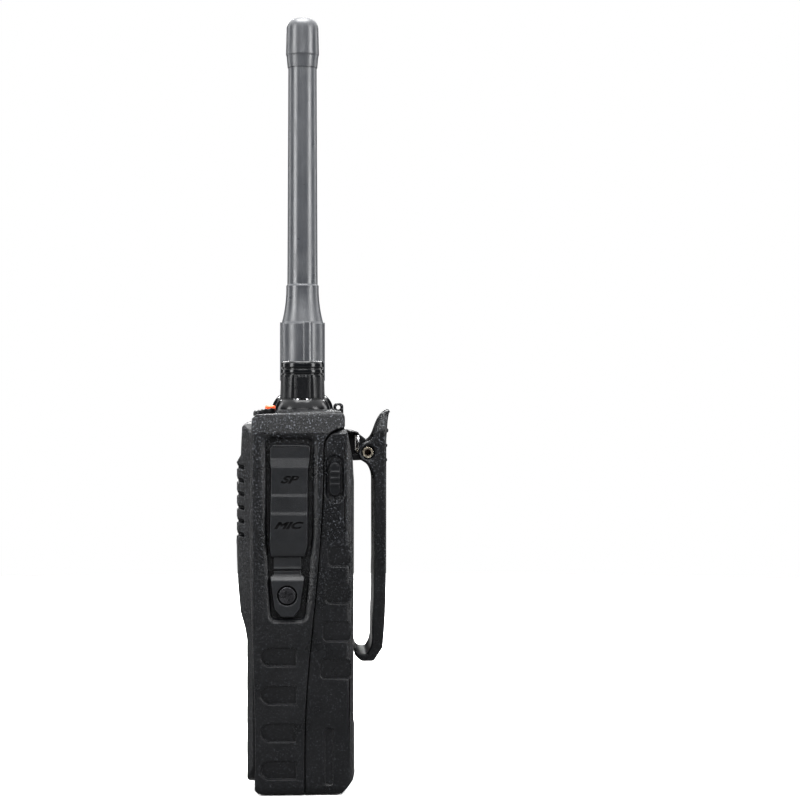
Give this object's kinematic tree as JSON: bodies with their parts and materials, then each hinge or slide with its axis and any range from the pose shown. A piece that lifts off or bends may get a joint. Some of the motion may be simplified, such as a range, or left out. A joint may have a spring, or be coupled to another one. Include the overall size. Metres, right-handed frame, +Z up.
{
  "type": "walkie talkie",
  "caption": "Handheld two-way radio with a rubber antenna, volume knob, push-to-talk side keys, keypad, hinged accessory cover, clip-on battery pack and sprung belt clip.",
  "frame": {"origin": "on the plane the radio stands on, midway across the case, under the axes of the antenna and the knob", "axes": "+Z up along the antenna, -Y out of the front with the keypad and display, +X out of the side with the accessory cover; push-to-talk is at -X"},
  "size_m": [0.0611, 0.0489, 0.2498],
  "materials": {
    "case_plastic": "fine spark-eroded texture",
    "bezel_plastic": "fine spark-eroded texture",
    "felt": "woven, black",
    "lens": "clear, hard coated",
    "panel": "grey-green reflective panel",
    "key_rubber": "matt silicone",
    "mat_rubber": "matt silicone",
    "board": "green solder mask",
    "cast_metal": "as cast",
    "steel": "dull zinc plate",
    "black_steel": "black oxide",
    "speaker_metal": "stamped",
    "component_plastic": "moulded",
    "shaft_metal": "turned",
    "brass": "nickel-free brass",
    "antenna_rubber": "satin moulded rubber",
    "knob_plastic": "satin with two polished rings",
    "side_rubber": "satin moulded rubber",
    "button_rubber": "satin moulded rubber",
    "grey_rubber": "satin moulded rubber",
    "pad_plastic": "serrated",
    "orange_plastic": "satin orange",
    "lamp": "translucent",
    "contact_metal": "gold flash",
    "pack_plastic": "fine spark-eroded texture",
    "cells": "shrink film",
    "label": "printed foil",
    "latch_plastic": "satin",
    "bracket_plastic": "satin",
    "pin_metal": "nickel plate",
    "clip_plastic": "satin"
  },
  "bodies": {
    "housing": {"front_case": "case_plastic", "bezel": "bezel_plastic", "grille_felt": "felt", "display_lens": "lens", "display_panel": "panel", "keypad_mat": "mat_rubber", "main_board": "board", "chassis": "cast_metal", "chassis_screws": "steel", "loudspeaker": "speaker_metal", "microphone": "speaker_metal", "volume_control": "component_plastic", "antenna_socket": "brass", "side_frame": "side_rubber", "side_switches": "board", "speaker_jack": "component_plastic", "mic_jack": "component_plastic", "cover_foot": "side_rubber", "cover_screw": "black_steel", "top_pad": "pad_plastic", "top_switch": "component_plastic", "status_lamp": "lamp", "radio_contacts": "contact_metal"},
    "ptt_key": {"ptt_key": "button_rubber"},
    "side_key_upper": {"side_key_upper": "button_rubber"},
    "side_key_lower": {"side_key_lower": "button_rubber"},
    "round_key": {"round_key": "grey_rubber"},
    "top_key": {"top_key": "orange_plastic"},
    "knob": {"knob": "knob_plastic", "volume_shaft": "shaft_metal"},
    "antenna": {"antenna_plug": "brass", "antenna_coil": "brass", "antenna_sheath": "antenna_rubber", "antenna_cap": "antenna_rubber"},
    "cover_flap": {"cover_flap": "side_rubber"},
    "pack": {"pack_shell": "pack_plastic", "pack_cells": "cells", "pack_contacts": "contact_metal", "pack_label": "label", "clip_bracket": "bracket_plastic", "bracket_screws": "steel", "clip_pin": "pin_metal", "clip_spring": "steel"},
    "latch_right": {"latch_right": "latch_plastic"},
    "latch_left": {"latch_left": "latch_plastic"},
    "belt_clip": {"belt_clip": "clip_plastic"},
    "key_0": {"key_0": "key_rubber"},
    "key_1": {"key_1": "key_rubber"},
    "key_2": {"key_2": "key_rubber"},
    "key_3": {"key_3": "key_rubber"},
    "key_4": {"key_4": "key_rubber"},
    "key_5": {"key_5": "key_rubber"},
    "key_6": {"key_6": "key_rubber"},
    "key_7": {"key_7": "key_rubber"},
    "key_8": {"key_8": "key_rubber"},
    "key_9": {"key_9": "key_rubber"},
    "key_star": {"key_star": "key_rubber"},
    "key_hash": {"key_hash": "key_rubber"}
  },
  "joints": [
    {"name": "key_0_press", "type": "slide", "parent": "housing", "child": "key_0", "axis": [0, 1, 0], "range_m": [0, 0.0006], "stiffness_N_per_m": 1500, "springref_m": -0.0002},
    {"name": "key_1_press", "type": "slide", "parent": "housing", "child": "key_1", "axis": [0, 1, 0], "range_m": [0, 0.0006], "stiffness_N_per_m": 1500, "springref_m": -0.0002},
    {"name": "key_2_press", "type": "slide", "parent": "housing", "child": "key_2", "axis": [0, 1, 0], "range_m": [0, 0.0006], "stiffness_N_per_m": 1500, "springref_m": -0.0002},
    {"name": "key_3_press", "type": "slide", "parent": "housing", "child": "key_3", "axis": [0, 1, 0], "range_m": [0, 0.0006], "stiffness_N_per_m": 1500, "springref_m": -0.0002},
    {"name": "key_4_press", "type": "slide", "parent": "housing", "child": "key_4", "axis": [0, 1, 0], "range_m": [0, 0.0006], "stiffness_N_per_m": 1500, "springref_m": -0.0002},
    {"name": "key_5_press", "type": "slide", "parent": "housing", "child": "key_5", "axis": [0, 1, 0], "range_m": [0, 0.0006], "stiffness_N_per_m": 1500, "springref_m": -0.0002},
    {"name": "key_6_press", "type": "slide", "parent": "housing", "child": "key_6", "axis": [0, 1, 0], "range_m": [0, 0.0006], "stiffness_N_per_m": 1500, "springref_m": -0.0002},
    {"name": "key_7_press", "type": "slide", "parent": "housing", "child": "key_7", "axis": [0, 1, 0], "range_m": [0, 0.0006], "stiffness_N_per_m": 1500, "springref_m": -0.0002},
    {"name": "key_8_press", "type": "slide", "parent": "housing", "child": "key_8", "axis": [0, 1, 0], "range_m": [0, 0.0006], "stiffness_N_per_m": 1500, "springref_m": -0.0002},
    {"name": "key_9_press", "type": "slide", "parent": "housing", "child": "key_9", "axis": [0, 1, 0], "range_m": [0, 0.0006], "stiffness_N_per_m": 1500, "springref_m": -0.0002},
    {"name": "key_star_press", "type": "slide", "parent": "housing", "child": "key_star", "axis": [0, 1, 0], "range_m": [0, 0.0006], "stiffness_N_per_m": 1500, "springref_m": -0.0002},
    {"name": "key_hash_press", "type": "slide", "parent": "housing", "child": "key_hash", "axis": [0, 1, 0], "range_m": [0, 0.0006], "stiffness_N_per_m": 1500, "springref_m": -0.0002},
    {"name": "ptt_press", "type": "slide", "parent": "housing", "child": "ptt_key", "axis": [1, 0, 0], "range_m": [0, 0.0012], "stiffness_N_per_m": 1800, "springref_m": -0.0003},
    {"name": "side_key_upper_press", "type": "slide", "parent": "housing", "child": "side_key_upper", "axis": [1, 0, 0], "range_m": [0, 0.0008], "stiffness_N_per_m": 1800, "springref_m": -0.0002},
    {"name": "side_key_lower_press", "type": "slide", "parent": "housing", "child": "side_key_lower", "axis": [1, 0, 0], "range_m": [0, 0.0008], "stiffness_N_per_m": 1800, "springref_m": -0.0002},
    {"name": "round_key_press", "type": "slide", "parent": "housing", "child": "round_key", "axis": [1, 0, 0], "range_m": [0, 0.0008], "stiffness_N_per_m": 1800, "springref_m": -0.0002},
    {"name": "top_key_press", "type": "slide", "parent": "housing", "child": "top_key", "axis": [0, 0, -1], "range_m": [0, 0.0006], "stiffness_N_per_m": 1800, "springref_m": -0.0002},
    {"name": "knob_turn", "type": "hinge", "parent": "housing", "child": "knob", "pos_m": [0.016, 0, 0.124], "axis": [0, 0, 1], "range_deg": [-300, 0]},
    {"name": "antenna_turn", "type": "hinge", "parent": "housing", "child": "antenna", "pos_m": [-0.016, 0, 0.1254], "axis": [0, 0, 1], "range_deg": [0, 360]},
    {"name": "flap_open", "type": "hinge", "parent": "housing", "child": "cover_flap", "pos_m": [0.0276, -0.0047, 0.0709], "axis": [0, 1, 0], "range_deg": [0, 100]},
    {"name": "pack_off", "type": "slide", "parent": "housing", "child": "pack", "axis": [0, 1, 0], "range_m": [0, 0.03]},
    {"name": "latch_right_slide", "type": "slide", "parent": "pack", "child": "latch_right", "axis": [0, 0, -1], "range_m": [0, 0.0013], "stiffness_N_per_m": 250, "springref_m": -0.001},
    {"name": "latch_left_slide", "type": "slide", "parent": "pack", "child": "latch_left", "axis": [0, 0, -1], "range_m": [0, 0.0013], "stiffness_N_per_m": 250, "springref_m": -0.001},
    {"name": "clip_open", "type": "hinge", "parent": "pack", "child": "belt_clip", "pos_m": [0, 0.0207, 0.1069], "axis": [1, 0, 0], "range_deg": [0, 25], "stiffness_Nm_per_rad": 1.2, "springref_deg": -14.32}
  ]
}
